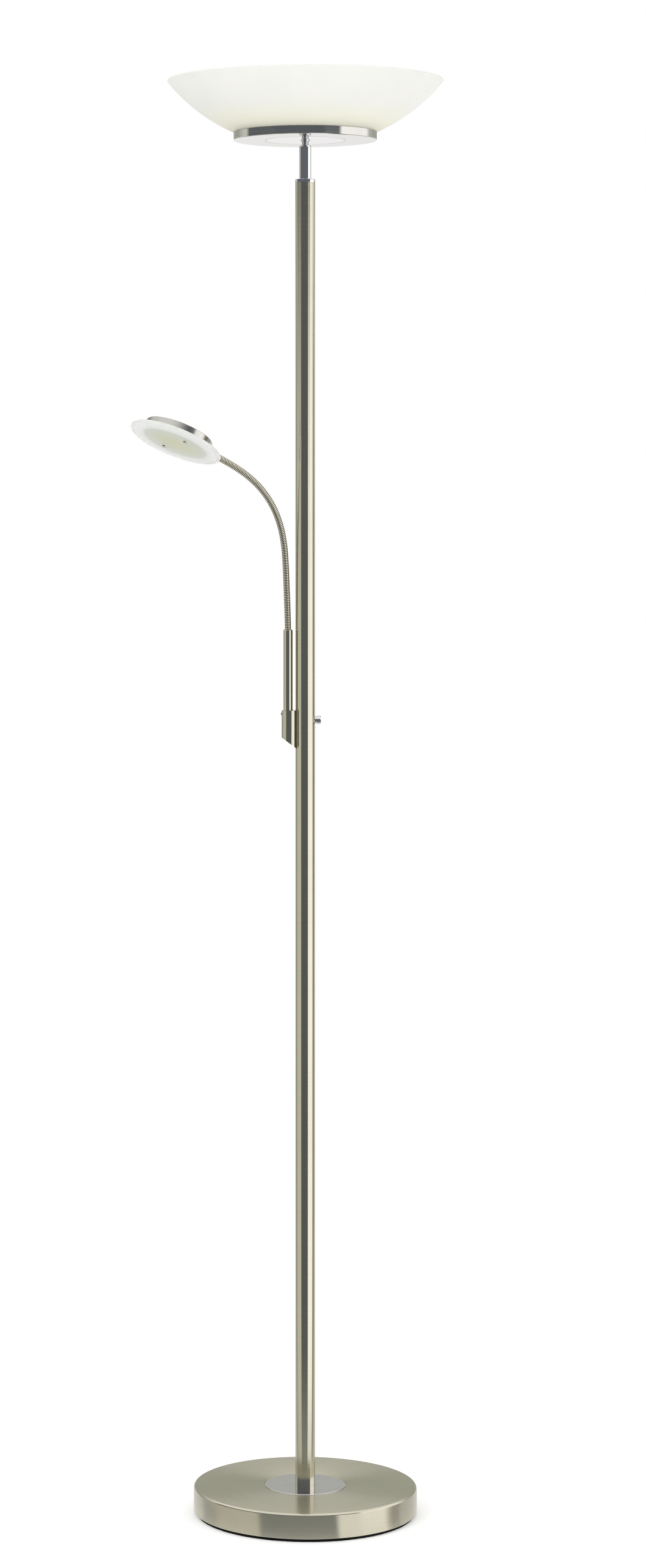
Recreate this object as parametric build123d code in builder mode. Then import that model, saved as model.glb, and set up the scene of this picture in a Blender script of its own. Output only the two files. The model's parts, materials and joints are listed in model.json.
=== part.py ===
from build123d import *
import os
from math import cos, radians, sin, sqrt

os.makedirs("parts", exist_ok=True)

# A torchiere: a round foot, a pole, a glass bowl that throws light up, and a small
# reading light on a flexible arm.  Millimetres, +Z up, the origin on the floor under
# the pole.  Seen from the front (looking along +Y) the reading light is on the left.

# ---------------------------------------------------------------- driving sizes
lamp_height = 1800.0  # floor to the rim of the glass bowl

base_dia = 280.0
base_height = 35.0  # floor to the top face of the base
base_edge = 1.5  # rounding of the base's upper edge
cover_wall = 1.2
pad_thick = 4.0
pad_inset = 4.0
plate_thick = 12.0  # flange of the cast weight
foot_disc_dia = 101.0
foot_disc_thick = 1.2
foot_disc_proud = 0.5

pole_dia = 25.0
pole_wall = 1.5

bowl_rim_r = 174.5  # outer radius of the glass at its rim
bowl_sphere_r = 223.5  # outer radius of the glass's sphere
bowl_thick = 5.0
bowl_floor_r = 80.0  # where the sphere turns into the flat floor
pan_dia = 180.0
pan_height = 10.2
pan_wall = 1.0
pan_disc_dia = 100.0
pan_disc_thick = 0.8
module_dia = 180.0  # light module inside the bowl
module_height = 31.0  # from the glass's floor to the top of its cover

stem_dia = 8.5  # threaded tube that carries the bowl
stem_show = 6.7  # bare stem between neck and pan
neck_dia = 15.0
neck_length = 42.0
cap_height = 4.0

dimmer_z = 996.0
knob_dia = 11.0
knob_length = 5.7
knob_edge = 0.9
dimmer_shaft_r = 2.0

bracket_dia = 20.0
bracket_x = 19.9  # pole axis to bracket axis
bracket_top = 1008.0
bracket_front = 34.0  # height of its outer side
bracket_slope = 36.5  # fall of the slanted foot, degrees
bracket_bore_deep = 30.0

arm_x = 21.6  # pole axis to arm axis
arm_tube_dia = 12.0
arm_tube_wall = 1.0
arm_tube_top = 1109.4
arm_azimuth = 24.0  # how far the arm is turned to the front, degrees

flex_dia = 8.5
flex_bore_r = 2.0
rib_pitch = 2.117
rib_depth = 0.65
rib_flank = 0.4
rib_sides = 6
link_ribs = 12  # ribs on each link of the flexible arm
foot_ribs = 36  # ribs on the straight stretch below the first link
link_count = 7
flex_gap = 0.9  # free slit at each bend point
flex_stub = 4.6  # ribbed neck that stands out of the arm tube
flex_lean = 2.4  # heading at the foot, degrees from upright
flex_tip = 64.3  # heading at the head, degrees from upright
bend_from = 68.7  # where along the arm the curve begins
bend_over = 182.7  # and how long it is

ferrule_length = 17.0
ferrule_dia = 9.2
head_twist = 4.5  # roll of the head about the arm, degrees
drum_dia = 87.0
drum_height = 12.0
drum_wall = 1.2
drum_edge = 0.7  # bevel round the drum's top
drum_above_arm = 5.2  # arm axis to the drum's top face
reading_glass_dia = 118.0
reading_glass_thick = 4.3
glass_screw_r = 28.0  # centre of the glass to each screw

# ---------------------------------------------------------------- fits
fit_gap = 0.1  # radial play of fixed round pieces
run_gap = 0.05  # radial play of the turning shaft
seat_gap = 0.3  # between curved neighbours, and at the knob's face
recess_gap = 0.7  # groove round a flush disc
thread_play = 0.25
thread_end = 1.0  # thread that shows past a nut or stops short of a hole's end
lead_r = 2.5
lead_room = 0.5  # radial room round a lead
screw_head_r = 3.4
screw_head_high = 1.8
head_taper = 20.0  # slope of a screw head's side, degrees
slot_width_share = 0.35  # of the head's radius
slot_depth_share = 0.5  # of the head's height
fine_bevel = 0.3
lead_in = 1.0  # bevel on the leading edge of a plug


def keep(piece, name):
    """Label a finished piece and write it."""
    piece.part.label = name
    export_step(piece.part, f"parts/{name}.step")


def ring(plane, outer_r, inner_r, length, edge=0.0):
    """A round piece standing on a plane; both its outer edges can be bevelled."""
    with BuildPart() as piece:
        with BuildSketch(plane):
            Circle(outer_r)
            if inner_r > 0:
                Circle(inner_r, mode=Mode.SUBTRACT)
        extrude(amount=length)
        if edge > 0:
            rims = piece.edges().filter_by(GeomType.CIRCLE).group_by(SortBy.RADIUS)[-1]
            chamfer(rims, edge)
    return piece


def hex_nut(plane, flats, bore_r, height):
    """A hexagon nut standing on a plane."""
    with BuildPart() as piece:
        with BuildSketch(plane):
            RegularPolygon(radius=flats / 2, side_count=6, major_radius=False)
            Circle(bore_r, mode=Mode.SUBTRACT)
        extrude(amount=height)
    return piece


def screw_set(seats, head_r, head_height, shank_r, shank_length):
    """Slotted screws.  Each seat is the plane under a head, facing out of the head."""
    slot_width = head_r * slot_width_share
    slot_depth = head_height * slot_depth_share
    with BuildPart() as screws:
        for seat in seats:
            with BuildSketch(seat):
                Circle(head_r)
            extrude(amount=head_height, taper=head_taper)
            with BuildSketch(seat):
                Circle(shank_r)
            extrude(amount=-shank_length)
            with BuildSketch(seat.offset(head_height)):
                Rectangle(head_r * 2, slot_width)
            extrude(amount=-slot_depth, mode=Mode.SUBTRACT)
    return screws


# ---------------------------------------------------------------- levels and radii
base_r = base_dia / 2
pole_r = pole_dia / 2
pole_inner_r = pole_r - pole_wall
stem_r = stem_dia / 2
stem_bore_r = lead_r + lead_room
pan_r = pan_dia / 2
knob_r = knob_dia / 2

# from the rim of the bowl downwards
bowl_centre_z = lamp_height + sqrt(bowl_sphere_r**2 - bowl_rim_r**2)
bowl_inner_r = bowl_sphere_r - bowl_thick


def sphere_under(sphere_r, radius):
    """Height of one of the glass's two faces at a distance from the axis."""
    return bowl_centre_z - sqrt(sphere_r**2 - radius**2)


glass_floor = sphere_under(bowl_sphere_r, bowl_floor_r)
glass_floor_top = glass_floor + bowl_thick
pan_top = sphere_under(bowl_sphere_r, pan_r - pan_wall) - seat_gap
pan_bottom = pan_top - pan_height
neck_top = pan_bottom - stem_show
neck_bottom = neck_top - neck_length
pole_top = neck_bottom - cap_height

# from the floor upwards
recess_floor = base_height + foot_disc_proud - foot_disc_thick
foot_disc_r = foot_disc_dia / 2
recess_r = foot_disc_r + recess_gap
cover_inner_r = base_r - cover_wall
cover_under = base_height - cover_wall
boss_top = recess_floor - cover_wall
plate_top = pad_thick + plate_thick

# ---------------------------------------------------------------- base
tie_r = 5.0  # threaded tube that ties the base to the pole
tie_hole_r = tie_r + thread_play
tie_grip = 28.0  # thread inside the pole's foot plug
pocket_r = 26.0
pocket_deep = 10.0
washer_r = 22.0
washer_thick = 2.0
tie_nut_flats = 17.0
tie_nut_high = 5.0
cord_z = 11.0
cord_hole_r = 5.0
cord_notch_width = 17.0
cord_notch_front = 72.0
channel_width = 8.0
channel_deep = 6.0

boss_inset = 4.0  # the weight's boss inside the cover's recess
boss_draft = 3.0  # and how much wider it is at its foot

pocket_top = pad_thick + pocket_deep
weight_r = cover_inner_r - seat_gap
boss_r = recess_r - boss_inset

with BuildPart() as base_pad:
    with BuildSketch():
        Circle(base_r - pad_inset)
    extrude(amount=pad_thick)
keep(base_pad, "base_pad")

with BuildPart() as base_cover:
    with BuildSketch(Plane.XZ):
        with BuildLine():
            Polyline(
                (tie_hole_r, recess_floor),
                (recess_r, recess_floor),
                (recess_r, base_height),
                (base_r, base_height),
                (base_r, pad_thick),
                (cover_inner_r, pad_thick),
                (cover_inner_r, cover_under),
                (recess_r + cover_wall, cover_under),
                (recess_r + cover_wall, boss_top),
                (tie_hole_r, boss_top),
                close=True,
            )
        make_face()
    revolve(axis=Axis.Z)
    top_rings = base_cover.edges().filter_by(GeomType.CIRCLE).group_by(Axis.Z)[-1]
    fillet(top_rings.sort_by(SortBy.RADIUS)[-1], base_edge)
    with BuildSketch(Plane.XZ.offset(-base_r - base_edge)):
        with Locations((0, cord_z)):
            Circle(cord_hole_r)
    extrude(amount=cord_notch_width, mode=Mode.SUBTRACT)
keep(base_cover, "base_cover")

# the driver lies on the flange of the weight, to the right of the pole
driver_size = (56.0, 100.0, 14.0)
driver_edge = 18.0  # from the driver's outer side to the edge of the base
driver_x = base_r - driver_edge - driver_size[0] / 2
lug_size = (18.0, 12.0, 3.0)
lug_root = 1.0  # overlap of each lug with the driver's body
lug_y = driver_size[1] / 2 + lug_size[1] / 2 - lug_root
driver_bevel = 1.0
driver_screw_r = 1.9
driver_screw_bite = 7.0

with BuildPart() as base_weight:
    with BuildSketch(Plane.XZ):
        with BuildLine():
            Polyline(
                (tie_hole_r, pocket_top),
                (pocket_r, pocket_top),
                (pocket_r, pad_thick),
                (weight_r, pad_thick),
                (weight_r, plate_top),
                (boss_r + boss_draft, plate_top),
                (boss_r, boss_top),
                (tie_hole_r, boss_top),
                close=True,
            )
        make_face()
    revolve(axis=Axis.Z)
    # a notch for the cord at the back, and a channel from it to the tie's pocket
    with BuildSketch(Plane.XY.offset(pad_thick)):
        with Locations((0, cord_notch_front)):
            Rectangle(cord_notch_width, base_r, align=(Align.CENTER, Align.MIN))
    extrude(amount=plate_thick, mode=Mode.SUBTRACT)
    with BuildSketch(Plane.XY.offset(pad_thick)):
        with Locations((0, pocket_r - channel_deep)):
            Rectangle(
                channel_width,
                cord_notch_front - pocket_r + 2 * channel_deep,
                align=(Align.CENTER, Align.MIN),
            )
    extrude(amount=channel_deep, mode=Mode.SUBTRACT)
    with Locations((driver_x, lug_y, plate_top), (driver_x, -lug_y, plate_top)):
        Hole(radius=driver_screw_r + fit_gap, depth=plate_thick * 0.75)
keep(base_weight, "base_weight")

with BuildPart() as led_driver:
    with BuildSketch(Plane.XY.offset(plate_top)):
        with Locations((driver_x, 0)):
            Rectangle(driver_size[0], driver_size[1])
    extrude(amount=driver_size[2])
    chamfer(led_driver.faces().sort_by(Axis.Z)[-1].edges(), driver_bevel)
    with BuildSketch(Plane.XY.offset(plate_top)):
        with Locations((driver_x, lug_y), (driver_x, -lug_y)):
            Rectangle(lug_size[0], lug_size[1])
    extrude(amount=lug_size[2])
    lug_top = plate_top + lug_size[2]
    with Locations((driver_x, lug_y, lug_top), (driver_x, -lug_y, lug_top)):
        Hole(radius=driver_screw_r + fit_gap, depth=lug_size[2])
keep(led_driver, "led_driver")

driver_screws = screw_set(
    [Plane((driver_x, y, lug_top)) for y in (lug_y, -lug_y)],
    head_r=screw_head_r,
    head_height=screw_head_high,
    shank_r=driver_screw_r,
    shank_length=lug_size[2] + driver_screw_bite,
)
keep(driver_screws, "driver_screws")

grommet_flange_r = 7.0
grommet_lip = 1.6
with BuildPart() as cord_grommet:
    with BuildSketch(Plane.YZ):
        with BuildLine():
            inner_face = cover_inner_r - seat_gap
            outer_face = base_r + fit_gap
            bore_edge = cord_z + lead_r + lead_room
            Polyline(
                (inner_face - grommet_lip, bore_edge),
                (outer_face + grommet_lip, bore_edge),
                (outer_face, cord_z + grommet_flange_r),
                (outer_face, cord_z + cord_hole_r - fit_gap),
                (inner_face, cord_z + cord_hole_r - fit_gap),
                (inner_face, cord_z + grommet_flange_r),
                (inner_face - grommet_lip, cord_z + grommet_flange_r),
                close=True,
            )
        make_face()
    revolve(axis=Axis((0, base_r, cord_z), (0, 1, 0)))
keep(cord_grommet, "cord_grommet")

with BuildPart() as base_disc:
    with BuildSketch(Plane.XY.offset(recess_floor)):
        Circle(foot_disc_r)
        Circle(pole_r + fit_gap, mode=Mode.SUBTRACT)
    extrude(amount=foot_disc_thick)
    disc_rims = base_disc.edges().filter_by(GeomType.CIRCLE).group_by(Axis.Z)[-1]
    chamfer(disc_rims.sort_by(SortBy.RADIUS)[-1], fine_bevel)
keep(base_disc, "base_disc")

washer_bottom = pocket_top - washer_thick
nut_bottom = washer_bottom - tie_nut_high
keep(ring(Plane.XY.offset(washer_bottom), washer_r, tie_hole_r, washer_thick), "base_washer")
keep(hex_nut(Plane.XY.offset(nut_bottom), tie_nut_flats, tie_hole_r, tie_nut_high), "base_nut")

tie_bottom = nut_bottom - thread_end
tie_top = recess_floor + tie_grip
keep(ring(Plane.XY.offset(tie_bottom), tie_r, stem_bore_r, tie_top - tie_bottom), "base_tie_tube")

# ---------------------------------------------------------------- pole
plug_over_tie = 4.0  # plug above the end of the tie
top_plug_long = 25.0
cap_bevel = 0.6
wire_hole_r = 2.0
wire_under_top = 7.0  # wire holes below the bracket's top
bracket_screw_r = 2.4
screw_over_floor = 5.5  # bracket's screw above the floor of its bore
dimmer_bush_r = 3.5

plug_grip = tie_grip + plug_over_tie
bracket_screw_z = bracket_top - bracket_bore_deep + screw_over_floor
wire_z = bracket_top - wire_under_top

with BuildPart() as pole_foot_plug:
    with BuildSketch(Plane.XY.offset(recess_floor)):
        Circle(pole_inner_r - fit_gap)
        Circle(tie_hole_r, mode=Mode.SUBTRACT)
    extrude(amount=plug_grip)
    chamfer(pole_foot_plug.edges().group_by(Axis.Z)[-1].sort_by(SortBy.RADIUS)[-1], lead_in)
keep(pole_foot_plug, "pole_foot_plug")

with BuildPart() as pole_tube:
    with BuildSketch(Plane.XY.offset(recess_floor)):
        Circle(pole_r)
        Circle(pole_inner_r, mode=Mode.SUBTRACT)
    extrude(amount=pole_top - recess_floor)
    with BuildSketch(Plane.YZ):
        with Locations((0, dimmer_z)):
            Circle(dimmer_bush_r + fit_gap)
    extrude(amount=pole_dia, mode=Mode.SUBTRACT)
    with BuildSketch(Plane.YZ):
        with Locations((0, bracket_screw_z)):
            Circle(bracket_screw_r + fit_gap)
        with Locations((0, wire_z)):
            Circle(wire_hole_r)
    extrude(amount=-pole_dia, mode=Mode.SUBTRACT)
keep(pole_tube, "pole_tube")

top_plug_bottom = pole_top - top_plug_long
keep(
    ring(
        Plane.XY.offset(top_plug_bottom), pole_inner_r - fit_gap, stem_r + fit_gap, top_plug_long
    ),
    "pole_top_plug",
)

with BuildPart() as pole_cap:
    with BuildSketch(Plane.XY.offset(pole_top)):
        Circle(pole_r)
        Circle(stem_r + fit_gap, mode=Mode.SUBTRACT)
    extrude(amount=cap_height)
    chamfer(pole_cap.edges().group_by(Axis.Z)[-1].sort_by(SortBy.RADIUS)[-1], cap_bevel)
keep(pole_cap, "pole_cap")

# ---------------------------------------------------------------- dimmer
dimmer_body_r = 7.0
dimmer_body_back = -2.0
dimmer_body_face = 8.0
collar_r = 4.6
collar_proud = 1.1  # collar outside the pole
collar_sunk = 1.0  # and how far its saddle wraps the pole
knob_front = 1.4  # knob in front of its shaft
knob_dot_r = 0.5
knob_dot_deep = 0.4
knob_dot_y = 3.3  # knob's axis to the dot that marks its setting
collar_face = pole_r + collar_proud
knob_start = collar_face + seat_gap
knob_end = knob_start + knob_length
shaft_end = knob_end - knob_front
shaft_start = 3.0


def on_dimmer_axis(x):
    """Plane across the dimmer's axis at a distance from the pole's axis."""
    return Plane(origin=(x, 0, dimmer_z), x_dir=(0, 1, 0), z_dir=(1, 0, 0))


with BuildPart() as dimmer_body:
    with BuildSketch(on_dimmer_axis(dimmer_body_back)):
        Circle(dimmer_body_r)
    extrude(amount=dimmer_body_face - dimmer_body_back)
    with BuildSketch(on_dimmer_axis(dimmer_body_face)):
        Circle(dimmer_bush_r)
    extrude(amount=collar_face - dimmer_body_face)
    with BuildSketch(on_dimmer_axis(shaft_start - seat_gap)):
        Circle(dimmer_shaft_r + run_gap)
    extrude(amount=knob_end - shaft_start, mode=Mode.SUBTRACT)
keep(dimmer_body, "dimmer_body")

with BuildPart() as dimmer_collar:
    with BuildSketch(on_dimmer_axis(pole_r - collar_sunk)):
        Circle(collar_r)
        Circle(dimmer_bush_r + fit_gap, mode=Mode.SUBTRACT)
    extrude(amount=collar_face - pole_r + collar_sunk)
    with BuildSketch(Plane.XY.offset(dimmer_z - pole_r)):
        Circle(pole_r + fit_gap / 2)
    extrude(amount=pole_dia, mode=Mode.SUBTRACT)
keep(dimmer_collar, "dimmer_collar")

keep(ring(on_dimmer_axis(shaft_start), dimmer_shaft_r, 0, shaft_end - shaft_start), "dimmer_shaft")

with BuildPart() as dimmer_knob:
    with BuildSketch(on_dimmer_axis(knob_start)):
        Circle(knob_r)
    extrude(amount=knob_length)
    knob_rims = dimmer_knob.edges().filter_by(GeomType.CIRCLE).group_by(Axis.X)
    chamfer(knob_rims[-1], knob_edge)
    with BuildSketch(on_dimmer_axis(knob_start)):
        Circle(dimmer_shaft_r + run_gap)
    extrude(amount=shaft_end + fit_gap - knob_start, mode=Mode.SUBTRACT)
    with BuildSketch(on_dimmer_axis(knob_end)):
        with Locations((0, knob_dot_y)):
            Circle(knob_dot_r)
    extrude(amount=-knob_dot_deep, mode=Mode.SUBTRACT)
keep(dimmer_knob, "dimmer_knob")

# ---------------------------------------------------------------- leads inside the pole
stem_over_glass = 9.5  # stem above the glass's floor, for the tray and its nut
stem_top = glass_floor_top + stem_over_glass
lead_inset = 1.0  # lead's end inside the tie tube
lead_short = 2.0  # and below the top of the stem
lead_clear = dimmer_body_r + seat_gap
lower_start, lower_end = tie_bottom + lead_inset, dimmer_z - lead_clear
upper_start, upper_end = dimmer_z + lead_clear, stem_top - lead_short
keep(ring(Plane.XY.offset(lower_start), lead_r, 0, lower_end - lower_start), "base_lead")
keep(ring(Plane.XY.offset(upper_start), lead_r, 0, upper_end - upper_start), "uplight_lead")

# ---------------------------------------------------------------- neck
neck_r = neck_dia / 2
neck_wall = 1.0
neck_bush_long = 8.0
stem_short = 3.0  # stem's foot above the foot of its plug
stem_bottom = top_plug_bottom + stem_short
pan_washer_r = 5.85
pan_washer_lap = 1.0  # washer over the edge of the pan's disc
pan_washer_thick = 1.5

keep(
    ring(Plane.XY.offset(neck_bottom), neck_r, neck_r - neck_wall, neck_length), "neck_tube"
)
keep(
    ring(
        Plane.XY.offset(neck_top - neck_bush_long),
        neck_r - neck_wall - fit_gap,
        stem_r + fit_gap,
        neck_bush_long,
    ),
    "neck_bush",
)
keep(ring(Plane.XY.offset(stem_bottom), stem_r, stem_bore_r, stem_top - stem_bottom), "neck_stem")
keep(
    ring(
        Plane.XY.offset(pan_bottom - pan_washer_thick),
        pan_washer_r,
        stem_r + fit_gap,
        pan_washer_thick,
        edge=fine_bevel,
    ),
    "pan_washer",
)

# ---------------------------------------------------------------- uplight
pan_disc_r = pan_disc_dia / 2
pan_recess_r = pan_disc_r + recess_gap
pan_floor = pan_bottom + pan_wall
step_floor = pan_bottom + pan_disc_thick
stem_hole_r = stem_r + thread_play

with BuildPart() as uplight_pan:
    with BuildSketch(Plane.XZ):
        with BuildLine():
            Polyline(
                (stem_hole_r, step_floor),
                (pan_recess_r, step_floor),
                (pan_recess_r, pan_bottom),
                (pan_r, pan_bottom),
                (pan_r, pan_top),
                (pan_r - pan_wall, pan_top),
                (pan_r - pan_wall, pan_floor),
                (pan_recess_r + pan_wall, pan_floor),
                (pan_recess_r + pan_wall, step_floor + pan_wall),
                (stem_hole_r, step_floor + pan_wall),
                close=True,
            )
        make_face()
    revolve(axis=Axis.Z)
    low_rings = uplight_pan.edges().filter_by(GeomType.CIRCLE).group_by(Axis.Z)[0]
    chamfer(low_rings.sort_by(SortBy.RADIUS)[-1], pan_wall * 0.7)
keep(uplight_pan, "uplight_pan")

pan_disc_bore_r = pan_washer_r - pan_washer_lap
keep(ring(Plane.XY.offset(pan_bottom), pan_disc_r, pan_disc_bore_r, pan_disc_thick), "pan_disc")

gasket_width = 14.0
gasket_inset = 4.0  # gasket inside the edge of the glass's flat floor
gasket_outer_r = bowl_floor_r - gasket_inset
gasket_inner_r = gasket_outer_r - gasket_width
keep(
    ring(Plane.XY.offset(pan_floor), gasket_outer_r, gasket_inner_r, glass_floor - pan_floor),
    "bowl_gasket",
)

bowl_hole_r = 18.0
bowl_rim_round = 1.0
inner_floor_r = sqrt(bowl_inner_r**2 - (bowl_centre_z - glass_floor_top) ** 2)
inner_rim_r = sqrt(bowl_inner_r**2 - (bowl_centre_z - lamp_height) ** 2)
with BuildPart() as uplight_glass:
    with BuildSketch(Plane.XZ) as glass_profile:
        with BuildLine():
            Line((bowl_hole_r, glass_floor), (bowl_floor_r, glass_floor))
            outer_mid_r = (bowl_floor_r + bowl_rim_r) / 2
            ThreePointArc(
                (bowl_floor_r, glass_floor),
                (outer_mid_r, sphere_under(bowl_sphere_r, outer_mid_r)),
                (bowl_rim_r, lamp_height),
            )
            Line((bowl_rim_r, lamp_height), (inner_rim_r, lamp_height))
            inner_mid_r = (inner_floor_r + inner_rim_r) / 2
            ThreePointArc(
                (inner_rim_r, lamp_height),
                (inner_mid_r, sphere_under(bowl_inner_r, inner_mid_r)),
                (inner_floor_r, glass_floor_top),
            )
            Line((inner_floor_r, glass_floor_top), (bowl_hole_r, glass_floor_top))
            Line((bowl_hole_r, glass_floor_top), (bowl_hole_r, glass_floor))
        make_face()
        fillet(glass_profile.vertices().group_by(Axis.Y)[-1], bowl_rim_round)
    revolve(axis=Axis.Z)
keep(uplight_glass, "uplight_glass")

# the light module: a cast tray that clamps the glass, a board on its ledge, a cover
module_r = module_dia / 2
module_wall = 2.0
tray_floor = glass_floor_top
tray_floor_thick = 3.0
tray_inset = 8.0  # tray's foot inside the edge of the glass's flat floor
tray_foot_high = 7.0  # height over which its foot flares out
cover_height = 9.0
ledge_width = 5.0
ledge_deep = 8.0  # board's ledge below the top of the tray
board_thick = 1.6
tray_neck_r = bowl_floor_r - tray_inset
tray_flare_z = tray_floor + tray_foot_high
tray_top = tray_floor + module_height - cover_height
board_z = tray_top - ledge_deep
board_r = module_r - module_wall - fit_gap

with BuildPart() as module_tray:
    with BuildSketch(Plane.XZ):
        with BuildLine():
            Polyline(
                (stem_hole_r, tray_floor),
                (tray_neck_r, tray_floor),
                (module_r, tray_flare_z),
                (module_r, tray_top),
                (module_r - module_wall, tray_top),
                (module_r - module_wall, board_z),
                (module_r - module_wall - ledge_width, board_z),
                (module_r - module_wall - ledge_width, tray_flare_z + module_wall),
                (tray_neck_r - module_wall, tray_floor + tray_floor_thick),
                (stem_hole_r, tray_floor + tray_floor_thick),
                close=True,
            )
        make_face()
    revolve(axis=Axis.Z)
keep(module_tray, "module_tray")

tray_inside = tray_floor + tray_floor_thick
stem_nut_flats = 13.0
stem_nut_high = 4.0
keep(hex_nut(Plane.XY.offset(tray_inside), stem_nut_flats, stem_hole_r, stem_nut_high), "stem_nut")

board_inner_r = 12.0
with BuildPart() as uplight_board:
    with BuildSketch(Plane.XY.offset(board_z)):
        Circle(board_r)
        Circle(board_inner_r, mode=Mode.SUBTRACT)
    extrude(amount=board_thick)
keep(uplight_board, "uplight_board")

led_size = 5.0
led_thick = 0.8
led_ring_radii = (34.0, 64.0)
led_ring_counts = (7, 13)  # LEDs in each ring
with BuildPart() as uplight_leds:
    with BuildSketch(Plane.XY.offset(board_z + board_thick)):
        for led_ring_r, led_count in zip(led_ring_radii, led_ring_counts):
            with PolarLocations(led_ring_r, led_count):
                Rectangle(led_size, led_size)
    extrude(amount=led_thick)
keep(uplight_leds, "uplight_leds")

cover_top = tray_top + cover_height
cover_sheet = 1.5
cover_skirt = 3.0
cover_rim_r = module_r - fit_gap
cover_ring_r = cover_rim_r - cover_sheet - ledge_width


def dome_drop(radius, rim_r, rise):
    """How far a shallow dome has fallen at a distance from its axis."""
    dome_r = (rim_r**2 + rise**2) / (2 * rise)
    return dome_r - sqrt(dome_r**2 - radius**2)


with BuildPart() as module_cover:
    with BuildSketch(Plane.XZ):
        with BuildLine():
            outer_rise = cover_height - cover_skirt
            inner_rise = outer_rise - cover_sheet
            half_way = cover_rim_r / 2
            outer_mid = cover_top - dome_drop(half_way, cover_rim_r, outer_rise)
            under_top = cover_top - cover_sheet
            inner_mid = under_top - dome_drop(half_way, cover_ring_r, inner_rise)
            ThreePointArc((0, cover_top), (half_way, outer_mid), (cover_rim_r, tray_top + cover_skirt))
            Polyline(
                (cover_rim_r, tray_top + cover_skirt),
                (cover_rim_r, tray_top),
                (cover_ring_r, tray_top),
                (cover_ring_r, under_top - inner_rise),
            )
            ThreePointArc((cover_ring_r, under_top - inner_rise), (half_way, inner_mid), (0, under_top))
            Line((0, under_top), (0, cover_top))
        make_face()
    revolve(axis=Axis.Z)
keep(module_cover, "module_cover")

# ---------------------------------------------------------------- reading light: bracket
bracket_r = bracket_dia / 2
bracket_low = bracket_top - 2 * bracket_front
arm_tube_r = arm_tube_dia / 2
bore_r = arm_tube_r + fit_gap
bore_floor = bracket_top - bracket_bore_deep
arm_tube_grip = 15.0  # length of the arm tube inside the bracket
arm_tube_bottom = bracket_top - arm_tube_grip
grub_under_top = 4.5
grub_z = bracket_top - grub_under_top
grub_r = 1.5
grub_proud = 0.5
grub_key_r = 0.8
grub_key_deep = 1.0
spot_room = 0.4  # radial room round the head of the bracket's screw
spot_deep = 0.9  # its spot face outside the bore
screw_spot_r = screw_head_r + spot_room
screw_seat_x = bore_r - arm_x + spot_deep
slope = radians(bracket_slope)
slant = Plane(
    origin=(-bracket_x - bracket_r, 0, bracket_top - bracket_front),
    x_dir=(0, 1, 0),
    z_dir=(sin(slope), 0, cos(slope)),
)

with BuildPart() as reading_bracket:
    with BuildSketch(Plane.XY.offset(bracket_low)):
        with Locations((-bracket_x, 0)):
            Circle(bracket_r)
        Circle(pole_r + fit_gap / 2, mode=Mode.SUBTRACT)
    extrude(amount=bracket_top - bracket_low)
    split(bisect_by=slant, keep=Keep.TOP)
    with BuildSketch(Plane.XY.offset(bore_floor)):
        with Locations((-arm_x, 0)):
            Circle(bore_r)
    extrude(amount=bracket_bore_deep, mode=Mode.SUBTRACT)
    with BuildSketch(Plane.YZ.offset(-arm_x)):
        with Locations((0, bracket_screw_z)):
            Circle(bracket_screw_r + fit_gap)
        with Locations((0, wire_z)):
            Circle(wire_hole_r)
    extrude(amount=arm_x, mode=Mode.SUBTRACT)
    with BuildSketch(Plane.YZ.offset(-arm_x)):
        with Locations((0, bracket_screw_z)):
            Circle(screw_spot_r)
    extrude(amount=arm_x + screw_seat_x, mode=Mode.SUBTRACT)
    with BuildSketch(Plane.YZ.offset(-arm_x)):
        with Locations((0, grub_z)):
            Circle(grub_r + fit_gap)
    extrude(amount=-bracket_dia, mode=Mode.SUBTRACT)
keep(reading_bracket, "reading_bracket")

# a half-round anchor inside the pole takes the bracket's screw
anchor_flat_x = -4.5
anchor_high = 16.0
with BuildPart() as bracket_anchor:
    with BuildSketch(Plane.XY.offset(bracket_screw_z - anchor_high / 2)):
        Circle(pole_inner_r - fit_gap)
        with Locations((anchor_flat_x, 0)):
            Rectangle(pole_dia, pole_dia, align=(Align.MIN, Align.CENTER), mode=Mode.SUBTRACT)
    extrude(amount=anchor_high)
    with BuildSketch(Plane.YZ):
        with Locations((0, bracket_screw_z)):
            Circle(bracket_screw_r + fit_gap)
    extrude(amount=-pole_r, mode=Mode.SUBTRACT)
keep(bracket_anchor, "bracket_anchor")

bracket_screw = screw_set(
    [Plane(origin=(screw_seat_x, 0, bracket_screw_z), x_dir=(0, 1, 0), z_dir=(-1, 0, 0))],
    head_r=screw_head_r,
    head_height=screw_head_high,
    shank_r=bracket_screw_r,
    shank_length=anchor_flat_x - screw_seat_x - thread_end,
)
keep(bracket_screw, "bracket_screw")

grub_inner = -arm_x - arm_tube_r - fit_gap
grub_outer = -bracket_x - bracket_r - grub_proud
with BuildPart() as grub_screw:
    with BuildSketch(Plane.YZ.offset(grub_inner)):
        with Locations((0, grub_z)):
            Circle(grub_r)
    extrude(amount=grub_outer - grub_inner)
    with BuildSketch(Plane.YZ.offset(grub_outer)):
        with Locations((0, grub_z)):
            RegularPolygon(radius=grub_key_r, side_count=6)
    extrude(amount=grub_key_deep, mode=Mode.SUBTRACT)
keep(grub_screw, "grub_screw")

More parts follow.
